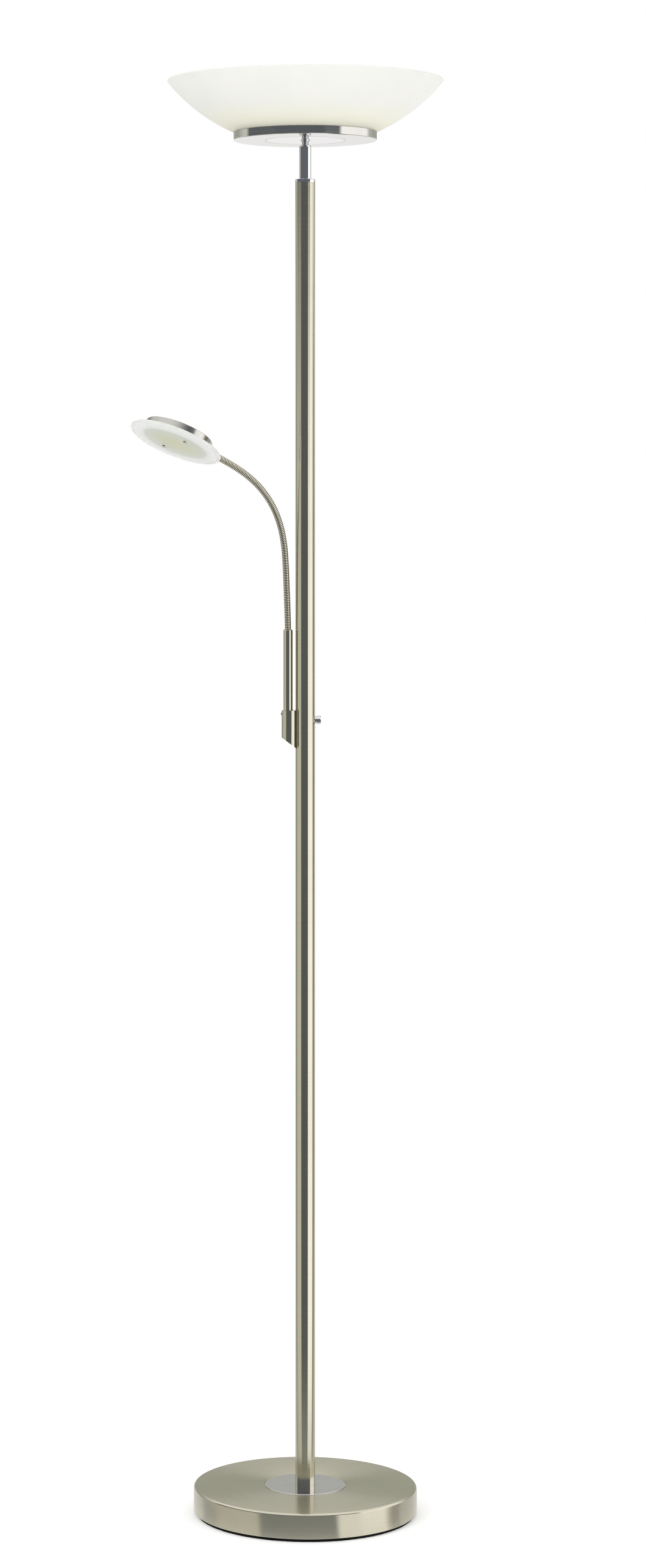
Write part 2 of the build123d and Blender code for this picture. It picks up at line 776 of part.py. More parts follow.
arm_tube_inner_r = arm_tube_r - arm_tube_wall
with BuildPart() as arm_tube:
    with BuildSketch(Plane.XY.offset(arm_tube_bottom)):
        with Locations((-arm_x, 0)):
            Circle(arm_tube_r)
            Circle(arm_tube_inner_r, mode=Mode.SUBTRACT)
    extrude(amount=arm_tube_top - arm_tube_bottom)
    tube_rims = arm_tube.edges().filter_by(GeomType.CIRCLE).group_by(Axis.Z)[-1]
    chamfer(tube_rims.sort_by(SortBy.RADIUS)[-1], arm_tube_wall * 0.6)
    with BuildSketch(Plane.YZ.offset(-arm_x)):
        with Locations((0, wire_z)):
            Circle(wire_hole_r)
    extrude(amount=arm_tube_dia, mode=Mode.SUBTRACT)
keep(arm_tube, "arm_tube")

flex_r = flex_dia / 2
arm_bush_long = 14.0
arm_bush_plane = Plane((-arm_x, 0, arm_tube_top - arm_bush_long))
keep(
    ring(arm_bush_plane, arm_tube_inner_r - fit_gap, flex_r + fit_gap, arm_bush_long), "arm_bush"
)

# ---------------------------------------------------------------- flexible arm
# The arm bends in an upright plane.  Its links are straight, and every slit between
# two links lies across the bend, so that each can turn a little either way.
azimuth = radians(arm_azimuth)
arm_out = Vector(-cos(azimuth), -sin(azimuth), 0)
upright = Vector(0, 0, 1)
arm_side = upright.cross(arm_out)
link_length = link_ribs * rib_pitch


def heading(angle):
    """Direction that leans outwards by an angle from upright, in degrees."""
    return upright * cos(radians(angle)) + arm_out * sin(radians(angle))


def lean_at(distance):
    """Lean of the resting arm at a distance along it: an even S-shaped growth."""
    part = min(max((distance - bend_from) / bend_over, 0.0), 1.0)
    return flex_lean + (flex_tip - flex_lean) * part * part * (3 - 2 * part)


foot_length = foot_ribs * rib_pitch
link_leans = [lean_at(foot_length + (index + 0.5) * link_length) for index in range(link_count)]
foot_point = Vector(-arm_x, 0, arm_tube_top + flex_stub)
bend_points = [foot_point + heading(flex_lean) * foot_length]
for lean in link_leans:
    bend_points.append(bend_points[-1] + heading(lean) * link_length)
# lean of the bisector at each bend point, from the arm's foot to its tip
piece_leans = [flex_lean] + link_leans + [flex_tip]
slit_leans = [(low + high) / 2 for low, high in zip(piece_leans, piece_leans[1:])]


def slit_face(index, side):
    """Face of the slit at a bend point: side -1 is its lower face, +1 its upper face."""
    across_arm = heading(slit_leans[index])
    return Plane(
        origin=bend_points[index] + across_arm * (side * flex_gap / 2),
        x_dir=arm_side,
        z_dir=across_arm,
    )


def rib_stations(rib_count):
    """Distance and radius of each section: four to a rib, and a short plain end."""
    valley_r = flex_r - rib_depth
    stations = [(-rib_flank, valley_r)]
    for rib in range(rib_count):
        start = rib * rib_pitch
        stations.append((start, valley_r))
        stations.append((start + rib_flank, flex_r))
        stations.append((start + rib_pitch - rib_flank, flex_r))
    stations.append((rib_count * rib_pitch, valley_r))
    stations.append((rib_count * rib_pitch + rib_flank, valley_r))
    return stations


def ribbed_run(foot, direction, rib_count, lower_face, upper_face):
    """A straight ribbed and bored run, cut off at its slits."""
    stations = rib_stations(rib_count)
    with BuildPart() as run:
        for distance, radius in stations:
            section = Plane(origin=foot + direction * distance, x_dir=arm_side, z_dir=direction)
            with BuildSketch(section):
                RegularPolygon(radius=radius, side_count=rib_sides)
        loft(ruled=True)
        bore_start = foot + direction * stations[0][0]
        with BuildSketch(Plane(origin=bore_start, x_dir=arm_side, z_dir=direction)):
            RegularPolygon(radius=flex_bore_r, side_count=rib_sides)
        extrude(amount=stations[-1][0] - stations[0][0], mode=Mode.SUBTRACT)
        if lower_face is not None:
            split(bisect_by=lower_face, keep=Keep.TOP)
        split(bisect_by=upper_face, keep=Keep.BOTTOM)
    return run


held_ribs = 9  # ribs below the foot of the lean, most of them inside the bush
foot_cut = Plane(origin=foot_point, x_dir=arm_side, z_dir=upright)
held_run = ribbed_run(
    foot_point - upright * (held_ribs * rib_pitch), upright, held_ribs, None, foot_cut
)
foot_run = ribbed_run(foot_point, heading(flex_lean), foot_ribs, foot_cut, slit_face(0, -1))
with BuildPart() as flex_root:
    add(held_run.part)
    add(foot_run.part)
keep(flex_root, "flex_root")

for index in range(link_count):
    link = ribbed_run(
        bend_points[index],
        heading(link_leans[index]),
        link_ribs,
        slit_face(index, 1),
        slit_face(index + 1, -1),
    )
    keep(link, f"flex_link_{index + 1:02d}")

# ---------------------------------------------------------------- reading light: head
tip_way = heading(flex_tip)
drum_r = drum_dia / 2
head_centre = bend_points[-1] + tip_way * (ferrule_length + drum_r)
twist = radians(head_twist)
level_normal = arm_side.cross(tip_way) * -1
head_normal = level_normal * cos(twist) + tip_way.cross(level_normal) * sin(twist)
head = Plane(origin=head_centre, x_dir=tip_way, z_dir=head_normal)

drum_top = drum_above_arm
drum_bottom = drum_top - drum_height
drum_inner_r = drum_r - drum_wall
drum_ceiling = drum_top - drum_wall
glass_face = drum_bottom - reading_glass_thick
spigot_r = 3.0
spigot_nut_flats = 7.6
spigot_nut_thick = 3.0
spigot_end = 0.5  # spigot past its nut
spigot_play = 0.2  # between the nut and the drum's wall
ferrule_bevel = 0.5

ferrule_plane = Plane(origin=bend_points[-1], x_dir=arm_side, z_dir=tip_way)
with BuildPart() as flex_ferrule:
    with BuildSketch(ferrule_plane.offset(flex_gap / 2)):
        Circle(ferrule_dia / 2)
    extrude(amount=ferrule_length - flex_gap / 2 - fit_gap)
    chamfer(flex_ferrule.edges().filter_by(GeomType.CIRCLE), ferrule_bevel)
    with BuildSketch(ferrule_plane.offset(flex_gap)):
        Circle(spigot_r)
    extrude(amount=ferrule_length + drum_wall + spigot_nut_thick + spigot_end - flex_gap)
    with BuildSketch(ferrule_plane):
        Circle(flex_bore_r)
    extrude(amount=ferrule_length * 2, mode=Mode.SUBTRACT)
keep(flex_ferrule, "flex_ferrule")

with BuildPart() as reading_drum:
    with BuildSketch(head.offset(drum_bottom)):
        Circle(drum_r)
    extrude(amount=drum_height)
    chamfer(reading_drum.edges().group_by(Axis(head.origin, head.z_dir))[-1], drum_edge)
    with BuildSketch(head.offset(drum_bottom)):
        Circle(drum_inner_r)
    extrude(amount=drum_height - drum_wall, mode=Mode.SUBTRACT)
    with BuildSketch(ferrule_plane):
        Circle(spigot_r + fit_gap)
    extrude(amount=ferrule_length + drum_wall * 2, mode=Mode.SUBTRACT)
keep(reading_drum, "reading_drum")

nut_plane = ferrule_plane.offset(ferrule_length + drum_wall + spigot_play)
keep(hex_nut(nut_plane, spigot_nut_flats, spigot_r + fit_gap, spigot_nut_thick), "ferrule_nut")

# the board hangs on two posts, and the screws of the glass run up into the same posts
post_r = 5.0
post_tip_r = 3.0
post_bore_deep = 6.0
reading_board_r = 36.0
reading_board_deep = 4.4  # board's top face inside the drum's mouth
reading_board_top = drum_bottom + reading_board_deep
reading_board_bottom = reading_board_top - board_thick
glass_hole_r = 2.1
glass_screw_shank_r = 1.6
glass_screw_head_r = 3.0
glass_screw_head_high = 1.2
post_places = [(0, glass_screw_r), (0, -glass_screw_r)]

with BuildPart() as drum_posts:
    with BuildSketch(head.offset(reading_board_top)):
        with Locations(*post_places):
            Circle(post_r)
    extrude(amount=drum_ceiling - reading_board_top)
    with BuildSketch(head.offset(drum_bottom)):
        with Locations(*post_places):
            Circle(post_tip_r)
    extrude(amount=reading_board_top - drum_bottom)
    with BuildSketch(head.offset(drum_bottom)):
        with Locations(*post_places):
            Circle(glass_screw_shank_r + fit_gap)
    extrude(amount=post_bore_deep, mode=Mode.SUBTRACT)
keep(drum_posts, "drum_posts")

with BuildPart() as reading_board:
    with BuildSketch(head.offset(reading_board_bottom)):
        Circle(reading_board_r)
        with Locations(*post_places):
            Circle(post_tip_r + fit_gap, mode=Mode.SUBTRACT)
    extrude(amount=board_thick)
keep(reading_board, "reading_board")

reading_led_size = 3.0
reading_ring_radii = (10.0, 20.0)
reading_ring_counts = (4, 8)
with BuildPart() as reading_leds:
    with BuildSketch(head.offset(reading_board_bottom)):
        for led_ring_r, led_count in zip(reading_ring_radii, reading_ring_counts):
            with PolarLocations(led_ring_r, led_count):
                Rectangle(reading_led_size, reading_led_size)
    extrude(amount=-led_thick)
keep(reading_leds, "reading_leds")

reflector_lip = 1.5
with BuildPart() as reading_reflector:
    with BuildSketch(head.offset(drum_bottom)):
        Circle(drum_inner_r - fit_gap)
    extrude(amount=reading_board_bottom - drum_bottom)
    with BuildSketch(head.offset(drum_bottom)):
        Circle(drum_inner_r - reflector_lip)
    with BuildSketch(head.offset(reading_board_bottom)):
        Circle(reading_board_r - reflector_lip)
    loft(mode=Mode.SUBTRACT)
keep(reading_reflector, "reading_reflector")

glass_bevel = 1.2
border_r = 55.0  # inside of the clear border, marked by a fine groove
groove_width = 0.6
groove_deep = 0.4
with BuildPart() as reading_glass:
    with BuildSketch(head.offset(glass_face)):
        Circle(reading_glass_dia / 2)
    extrude(amount=reading_glass_thick)
    chamfer(reading_glass.edges().filter_by(GeomType.CIRCLE), glass_bevel)
    with BuildSketch(head.offset(glass_face)):
        Circle(border_r + groove_width)
        Circle(border_r, mode=Mode.SUBTRACT)
    extrude(amount=groove_deep, mode=Mode.SUBTRACT)
    with BuildSketch(head.offset(glass_face)):
        with Locations(*post_places):
            Circle(glass_hole_r)
    extrude(amount=reading_glass_thick, mode=Mode.SUBTRACT)
keep(reading_glass, "reading_glass")

screw_washer_r = 3.4
screw_washer_thick = 0.4
with BuildPart() as glass_washers:
    with BuildSketch(head.offset(glass_face)):
        with Locations(*post_places):
            Circle(screw_washer_r)
            Circle(glass_screw_shank_r + fit_gap, mode=Mode.SUBTRACT)
    extrude(amount=-screw_washer_thick)
keep(glass_washers, "glass_washers")

under_glass = head.offset(glass_face - screw_washer_thick)
screw_seats = [
    Plane(
        origin=under_glass.from_local_coords((x, y, 0)),
        x_dir=tip_way,
        z_dir=head_normal * -1,
    )
    for x, y in post_places
]
glass_screws = screw_set(
    screw_seats,
    head_r=glass_screw_head_r,
    head_height=glass_screw_head_high,
    shank_r=glass_screw_shank_r,
    shank_length=screw_washer_thick + reading_glass_thick + post_bore_deep - thread_end,
)
keep(glass_screws, "glass_screws")
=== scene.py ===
import json
import math
import random

import bpy
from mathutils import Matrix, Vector

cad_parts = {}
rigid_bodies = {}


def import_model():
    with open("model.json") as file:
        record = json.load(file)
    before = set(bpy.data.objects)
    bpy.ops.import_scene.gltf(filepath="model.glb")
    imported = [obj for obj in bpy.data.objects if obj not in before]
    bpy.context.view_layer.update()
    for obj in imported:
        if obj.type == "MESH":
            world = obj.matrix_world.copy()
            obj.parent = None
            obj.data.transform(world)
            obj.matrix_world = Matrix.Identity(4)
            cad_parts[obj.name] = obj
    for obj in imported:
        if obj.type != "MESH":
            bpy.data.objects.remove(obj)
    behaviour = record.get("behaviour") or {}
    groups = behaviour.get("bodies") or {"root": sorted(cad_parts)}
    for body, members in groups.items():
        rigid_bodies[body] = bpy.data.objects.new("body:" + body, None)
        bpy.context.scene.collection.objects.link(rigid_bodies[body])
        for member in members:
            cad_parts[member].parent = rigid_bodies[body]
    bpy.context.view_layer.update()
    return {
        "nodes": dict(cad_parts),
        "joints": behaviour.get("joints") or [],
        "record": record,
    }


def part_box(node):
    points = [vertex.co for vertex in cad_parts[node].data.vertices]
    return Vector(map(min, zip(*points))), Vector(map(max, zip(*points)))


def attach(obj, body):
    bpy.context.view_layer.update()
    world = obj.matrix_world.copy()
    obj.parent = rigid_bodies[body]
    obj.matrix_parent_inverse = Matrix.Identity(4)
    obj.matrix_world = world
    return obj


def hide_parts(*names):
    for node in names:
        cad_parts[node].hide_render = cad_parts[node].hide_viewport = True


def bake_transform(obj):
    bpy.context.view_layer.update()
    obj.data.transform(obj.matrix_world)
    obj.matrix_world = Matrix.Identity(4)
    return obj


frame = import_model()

record = frame["record"]
nodes = frame["nodes"]

MM = 0.001
UP = Vector((0, 0, 1))

# ------------------------------------------------------------------ camera
# The photograph's frame and the fitted camera, in pixels of that frame and in metres.
# The camera looks level; it is turned a little towards the pole and shifted for the rest.
FRAME_WIDTH, FRAME_HEIGHT = 1061, 2576
SENSOR = 36.0
CAMERA_PLACE = Vector((-0.3046, -4.713, 1.2663))
POLE_COLUMN = 501.3  # where the pole's axis stands in the frame
HORIZON_ROW = 829.3
FOCAL_AT_POLE = 6160.0  # focal length for the plane through the pole
CAMERA_TURN = math.radians(1.85)

depth = -CAMERA_PLACE.x * math.sin(CAMERA_TURN) - CAMERA_PLACE.y * math.cos(CAMERA_TURN)
aside = -CAMERA_PLACE.x * math.cos(CAMERA_TURN) + CAMERA_PLACE.y * math.sin(CAMERA_TURN)
focal = FOCAL_AT_POLE * depth / -CAMERA_PLACE.y
centre_column = POLE_COLUMN - focal * aside / depth

camera_data = bpy.data.cameras.new("camera")
camera_data.sensor_width = SENSOR
camera_data.lens = focal * SENSOR / FRAME_HEIGHT
camera_data.shift_x = (FRAME_WIDTH / 2 - centre_column) / FRAME_HEIGHT
camera_data.shift_y = -(FRAME_HEIGHT / 2 - HORIZON_ROW) / FRAME_HEIGHT
camera_data.clip_start = 0.1
camera_data.clip_end = 100.0
camera = bpy.data.objects.new("camera", camera_data)
camera.location = CAMERA_PLACE
camera.rotation_euler = (math.pi / 2, 0, -CAMERA_TURN)
bpy.context.scene.collection.objects.link(camera)
bpy.context.scene.camera = camera
bpy.context.scene.view_settings.view_transform = "Standard"


# ------------------------------------------------------------------ wiring of shaders
class Wiring:
    """Makes and joins the nodes of one material or of the world."""

    def __init__(self, tree):
        self.tree = tree
        tree.nodes.clear()

    def put(self, value, socket):
        """Joins another node's output to an input, or sets the input's own value."""
        if isinstance(value, bpy.types.NodeSocket):
            self.tree.links.new(value, socket)
        elif value is not None:
            socket.default_value = value

    def node(self, kind, inputs=None, **settings):
        """A node with these settings, and with these inputs joined or set."""
        made = self.tree.nodes.new(kind)
        for name, value in settings.items():
            setattr(made, name, value)
        for name, value in (inputs or {}).items():
            self.put(value, made.inputs[name])
        return made

    def math(self, operation, *values):
        made = self.tree.nodes.new("ShaderNodeMath")
        made.operation = operation
        for index, value in enumerate(values):
            self.put(value, made.inputs[index])
        return made.outputs[0]

    def vector(self, operation, *values, scale=None):
        made = self.tree.nodes.new("ShaderNodeVectorMath")
        made.operation = operation
        for index, value in enumerate(values):
            self.put(value, made.inputs[index])
        if scale is not None:
            self.put(scale, made.inputs["Scale"])
        single = operation in ("DOT_PRODUCT", "LENGTH")
        return made.outputs["Value" if single else "Vector"]

    def span(self, value, low, high, to_low=0.0, to_high=1.0, smooth=True):
        """Maps low..high of a value to to_low..to_high, and no further."""
        made = self.node(
            "ShaderNodeMapRange", interpolation_type="SMOOTHSTEP" if smooth else "LINEAR"
        )
        for name, number in (
            ("Value", value), ("From Min", low), ("From Max", high),
            ("To Min", to_low), ("To Max", to_high),
        ):
            self.put(number, made.inputs[name])
        return made.outputs["Result"]

    def mix(self, share, first, second):
        """A colour between two colours."""
        made = self.node("ShaderNodeMix", data_type="RGBA")
        self.put(share, made.inputs[0])
        self.put(first, made.inputs[6])
        self.put(second, made.inputs[7])
        return made.outputs[2]

    def blend(self, share, first, second):
        """A shader between two shaders."""
        made = self.node("ShaderNodeMixShader")
        self.put(share, made.inputs[0])
        self.put(first, made.inputs[1])
        self.put(second, made.inputs[2])
        return made.outputs[0]

    def noise(self, place, scale, detail=3.0, roughness=0.55):
        made = self.node("ShaderNodeTexNoise")
        self.put(place, made.inputs["Vector"])
        self.put(scale, made.inputs["Scale"])
        self.put(detail, made.inputs["Detail"])
        self.put(roughness, made.inputs["Roughness"])
        return made.outputs["Fac"]

    def bump(self, height, strength, distance):
        made = self.node("ShaderNodeBump")
        self.put(height, made.inputs["Height"])
        self.put(strength, made.inputs["Strength"])
        self.put(distance, made.inputs["Distance"])
        return made.outputs["Normal"]

    def rest_point(self):
        """The point at rest, in metres, which moves with its body."""
        return self.node("ShaderNodeTexCoord").outputs["Object"]

    def round_axis(self, centre, axis):
        """The place at rest round an axis: how far along it from the centre, which way
        from it, and how far from it."""
        away = self.vector("SUBTRACT", self.rest_point(), tuple(centre))
        height = self.vector("DOT_PRODUCT", away, tuple(axis))
        radial = self.vector("SUBTRACT", away, self.vector("SCALE", tuple(axis), scale=height))
        return height, radial, self.vector("LENGTH", radial)


def rgba(colour, level=1.0):
    return (colour[0] * level, colour[1] * level, colour[2] * level, 1.0)


# ------------------------------------------------------------------ studio
# What polished metal mirrors all round the lamp, as plain cards: (degrees from the
# camera, to the right, level, colour).  One list near eye level, one above it.
NEUTRAL = (1.0, 0.98, 0.98)
WARM = (1.0, 0.96, 0.86)
COOL = (0.90, 0.98, 1.10)
OLIVE = (1.0, 1.02, 0.90)
CARDS_LEVEL = (
    (-180, 0.95, NEUTRAL), (-150, 0.85, NEUTRAL), (-138, 0.42, COOL), (-118, 0.45, WARM),
    (-108, 0.72, WARM), (-56, 0.82, WARM), (-51, 0.15, COOL), (26, 0.15, COOL),
    (31, 1.50, NEUTRAL), (86, 1.50, NEUTRAL), (94, 0.55, WARM), (100, 0.22, WARM),
    (110, 0.25, WARM), (116, 0.60, NEUTRAL), (150, 0.80, NEUTRAL), (180, 0.95, NEUTRAL),
)
CARDS_ABOVE = (
    (-180, 0.44, OLIVE), (-140, 0.44, OLIVE), (-118, 0.75, NEUTRAL), (-112, 0.70, WARM),
    (-106, 0.15, COOL), (52, 0.15, COOL), (58, 1.35, NEUTRAL), (112, 1.30, NEUTRAL),
    (122, 0.60, NEUTRAL), (140, 0.44, OLIVE), (180, 0.44, OLIVE),
)
ABOVE_FROM, ABOVE_TO = 2.0, 5.0  # elevations between which the cards change
CEILING_FROM, CEILING_TO = 18.0, 42.0
CEILING_LEVEL = 1.1
DAYLIGHT = 0.88  # what the world gives to matt surfaces
FLOOR_COLOUR = (0.90, 0.90, 0.895)
FLOOR_LIFT = 0.24  # raises the floor to white where nothing shades it
FLOOR_SIZE = 60.0
SWEEP_FROM, SWEEP_TO = 0.10, 0.18  # where the white sweep ends and the cards' feet begin
FADE_FROM, FADE_TO = 0.30, 0.90  # the feet are fainter up to the first of these
FADE_SHARE = 0.42
FADE_COLOUR = (0.60, 0.60, 0.57)
WHITE = (1.0, 1.0, 1.0)
LAMP_SIZE = 2.0
LAMPS = (
    # name, place, the point it is aimed at, watts
    ("key", (-2.4, -2.6, 2.6), (0, 0, 1.2), 40.0),
    ("fill", (2.8, -2.0, 0.9), (0, 0, 1.3), 30.0),
)


def card_ramp(wiring, azimuth, cards):
    """The colour of the cards of a list at an azimuth, in degrees."""
    ramp = wiring.node("ShaderNodeValToRGB")
    wiring.put(wiring.span(azimuth, -180, 180, smooth=False), ramp.inputs[0])
    stops = ramp.color_ramp.elements
    while len(stops) < len(cards):
        stops.new(1.0)
    for stop, (degrees, level, colour) in zip(stops, cards):
        stop.position = (degrees + 180) / 360
        stop.color = rgba(colour, level)
    return ramp.outputs["Color"]


def azimuth_of(wiring, place):
    """Degrees round the lamp from the camera's side, to the right."""
    parts = wiring.node("ShaderNodeSeparateXYZ", {"Vector": place}).outputs
    away = wiring.math("MULTIPLY", parts["Y"], -1.0)
    return wiring.math("DEGREES", wiring.math("ARCTAN2", parts["X"], away))


def make_world():
    """White where the camera sees it, plain daylight on matt surfaces, cards in metal."""
    world = bpy.data.worlds.new("studio")
    bpy.context.scene.world = world
    world.use_nodes = True
    w = Wiring(world.node_tree)
    way = w.node("ShaderNodeTexCoord").outputs["Generated"]
    azimuth = azimuth_of(w, way)
    height = w.node("ShaderNodeSeparateXYZ", {"Vector": way}).outputs["Z"]
    elevation = w.math("DEGREES", w.math("ARCSINE", height))
    above = w.span(elevation, ABOVE_FROM, ABOVE_TO)
    cards = w.mix(above, card_ramp(w, azimuth, CARDS_LEVEL), card_ramp(w, azimuth, CARDS_ABOVE))
    ceiling = w.span(elevation, CEILING_FROM, CEILING_TO)
    mirrored = w.mix(ceiling, cards, rgba(NEUTRAL, CEILING_LEVEL))
    ray = w.node("ShaderNodeLightPath").outputs
    seen = w.math("MAXIMUM", ray["Is Camera Ray"], ray["Is Transmission Ray"])
    colour = w.mix(ray["Is Glossy Ray"], rgba(WHITE, DAYLIGHT), mirrored)
    colour = w.mix(seen, colour, rgba(WHITE))
    background = w.node("ShaderNodeBackground", {"Color": colour})
    w.put(background.outputs[0], w.node("ShaderNodeOutputWorld").inputs["Surface"])


def make_floor():
    """A pale floor that is white where nothing shades it."""
    half = FLOOR_SIZE / 2
    mesh = bpy.data.meshes.new("floor")
    corners = [(-half, -half, 0), (half, -half, 0), (half, half, 0), (-half, half, 0)]
    mesh.from_pydata(corners, [], [(0, 1, 2, 3)])
    floor = bpy.data.objects.new("floor", mesh)
    bpy.context.scene.collection.objects.link(floor)
    material = bpy.data.materials.new("floor")
    material.use_nodes = True
    w = Wiring(material.node_tree)
    matt = w.node("ShaderNodeBsdfDiffuse", {"Color": rgba(FLOOR_COLOUR)}).outputs[0]
    ray = w.node("ShaderNodeLightPath").outputs
    seen = w.math("MAXIMUM", ray["Is Camera Ray"], ray["Is Glossy Ray"])
    seen = w.math("MAXIMUM", seen, ray["Is Transmission Ray"])
    strength = w.math("MULTIPLY", seen, FLOOR_LIFT)
    lift = w.node("ShaderNodeEmission", {"Color": rgba(WHITE), "Strength": strength}).outputs[0]
    both = w.node("ShaderNodeAddShader")
    w.put(matt, both.inputs[0])
    w.put(lift, both.inputs[1])
    # beyond the sweep, polished metal mirrors the feet of the cards, which spread
    # as far round the base as its wall throws them
    place = w.rest_point()
    away = w.vector("LENGTH", place)
    doubled = w.math("MULTIPLY", away, 2.0)
    widened = w.math("DIVIDE", doubled, w.math("SUBTRACT", doubled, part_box("base_cover")[1].x))
    azimuth = w.math("MULTIPLY", azimuth_of(w, place), widened)
    fade = w.span(away, FADE_FROM, FADE_TO, FADE_SHARE, 0.0)
    feet = w.mix(fade, card_ramp(w, azimuth, CARDS_LEVEL), rgba(FADE_COLOUR))
    cards = w.node("ShaderNodeEmission", {"Color": feet})
    beyond = w.span(away, SWEEP_FROM, SWEEP_TO)
    mirrored = w.math("MULTIPLY", ray["Is Glossy Ray"], beyond)
    surface = w.blend(mirrored, both.outputs[0], cards.outputs[0])
    w.put(surface, w.node("ShaderNodeOutputMaterial").inputs["Surface"])
    mesh.materials.append(material)


def make_lamp(name, place, aim, watts):
    """A soft square lamp that polished metal doesn't mirror."""
    data = bpy.data.lights.new(name, "AREA")
    data.shape = "SQUARE"
    data.size = LAMP_SIZE
    data.energy = watts
    lamp = bpy.data.objects.new(name, data)
    lamp.location = place
    lamp.rotation_mode = "QUATERNION"
    lamp.rotation_quaternion = (Vector(aim) - Vector(place)).to_track_quat("-Z", "Y")
    lamp.visible_glossy = False
    bpy.context.scene.collection.objects.link(lamp)


make_world()
make_floor()
for lamp in LAMPS:
    make_lamp(*lamp)


# ------------------------------------------------------------------ materials
def finished(name, build):
    """A material whose shader build(wiring) gives."""
    material = bpy.data.materials.new(name)
    material.use_nodes = True
    w = Wiring(material.node_tree)
    w.put(build(w), w.node("ShaderNodeOutputMaterial").inputs["Surface"])
    return material


CLOUD_SPAN = (0.3, 0.7)  # the part of a noise that is spread over a surface's change

NICKEL = (0.635, 0.615, 0.495)
NICKEL_DARK = (0.575, 0.555, 0.445)
SILVER = (0.70, 0.695, 0.655)
SILVER_DARK = (0.62, 0.615, 0.575)
DRUM_DARK = (0.53, 0.525, 0.49)
MARK_LENGTH = 45 * MM  # length of one brush mark
MARK_WIDTH = 0.55 * MM
HAIR_WIDTH = 0.2 * MM  # width of the finer marks between them
MARK_SHARE, HAIR_SHARE = 0.6, 0.4
BRUSH_SHARE, CLOUD_SHARE = 0.7, 0.3  # of the brush marks and of a wide cloud in the tone
WIDE_CLOUD = 14.0  # cells in a metre, as in the other clouds
TONE_SPAN = (0.35, 0.65)
SMOOTHER, ROUGHER = 0.03, 0.04  # how far the marks change the roughness
MARK_DEPTH = 0.02 * MM
MARK_STRENGTH = 0.06
POLISHED_ROUGHNESS = 0.09


def brushed(
    name, centre, axis, radius,
    roughness=0.18, anisotropy=0.6, tones=(NICKEL_DARK, NICKEL), polished_edge=None,
):
    """Nickel brushed in rings about an axis: fine marks along the ring, and light drawn
    out across them.  A rounded edge (its radius, level and rounding) can be polished."""

    def build(w):
        height, radial, distance = w.round_axis(centre, axis)
        outward = w.vector("NORMALIZE", radial)
        round_ring = w.vector("SCALE", outward, scale=radius / MARK_LENGTH)
        across_ring = w.math("ADD", height, distance)

        def marks(width, detail):
            made = w.node("ShaderNodeTexNoise", noise_dimensions="4D")
            w.put(round_ring, made.inputs["Vector"])
            w.put(w.math("DIVIDE", across_ring, width), made.inputs["W"])
            for socket, number in (("Scale", 1.0), ("Detail", detail), ("Roughness", 0.6)):
                w.put(number, made.inputs[socket])
            return made.outputs["Fac"]

        wide_marks = w.math("MULTIPLY", marks(MARK_WIDTH, detail=3.0), MARK_SHARE)
        hair_marks = w.math("MULTIPLY", marks(HAIR_WIDTH, detail=2.0), HAIR_SHARE)
        both = w.math("ADD", wide_marks, hair_marks)
        cloud = w.math("MULTIPLY", w.noise(w.rest_point(), WIDE_CLOUD, detail=2.0), CLOUD_SHARE)
        tone = w.math("ADD", w.math("MULTIPLY", both, BRUSH_SHARE), cloud)
        colour = w.mix(w.span(tone, *TONE_SPAN), rgba(tones[0]), rgba(tones[1]))
        rough = w.span(both, *CLOUD_SPAN, roughness - SMOOTHER, roughness + ROUGHER)
        ring_way = w.vector("CROSS_PRODUCT", tuple(axis), outward)
        normal = w.node("ShaderNodeTexCoord").outputs["Normal"]
        across_marks = w.vector("CROSS_PRODUCT", normal, ring_way)
        tangent = w.node(
            "ShaderNodeVectorTransform", {"Vector": across_marks},
            vector_type="VECTOR", convert_from="OBJECT", convert_to="WORLD",
        )
        shader = w.node(
            "ShaderNodeBsdfPrincipled",
            {
                "Base Color": colour, "Metallic": 1.0, "Roughness": rough,
                "Anisotropic": anisotropy, "Tangent": tangent.outputs[0],
                "Normal": w.bump(both, MARK_STRENGTH, MARK_DEPTH),
            },
        )
        if polished_edge:
            edge_radius, edge_level, edge_round = polished_edge
            outer = w.span(distance, edge_radius - edge_round, edge_radius - edge_round / 2)
            upper = w.span(height, edge_level - edge_round, edge_level - edge_round / 2)
            on_edge = w.math("MULTIPLY", outer, upper)
            polish = w.span(on_edge, 0.0, 1.0, 0.0, roughness - POLISHED_ROUGHNESS)
            w.put(w.math("SUBTRACT", rough, polish), shader.inputs["Roughness"])
        return shader.outputs[0]

    return finished(name, build)


ROUGH_LOW, ROUGH_HIGH = 0.85, 1.15  # the range of a plain finish's roughness
GRAIN_STRENGTH = 0.5


def plain(name, colour, second, roughness, metallic=0.0, scale=300.0, bump=0.0, **more):
    """A finish of two close colours in a fine cloud, with a roughness that follows it."""

    def build(w):
        cloud = w.noise(w.rest_point(), scale, detail=4.0)
        shader = w.node(
            "ShaderNodeBsdfPrincipled",
            {
                "Base Color": w.mix(w.span(cloud, *CLOUD_SPAN), rgba(colour), rgba(second)),
                "Metallic": metallic,
                "Roughness": w.span(
                    cloud, *CLOUD_SPAN, roughness * ROUGH_LOW, roughness * ROUGH_HIGH,
                ),
                **more,
            },
        )
        if bump:
            w.put(w.bump(cloud, GRAIN_STRENGTH, bump), shader.inputs["Normal"])
        return shader.outputs[0]

    return finished(name, build)


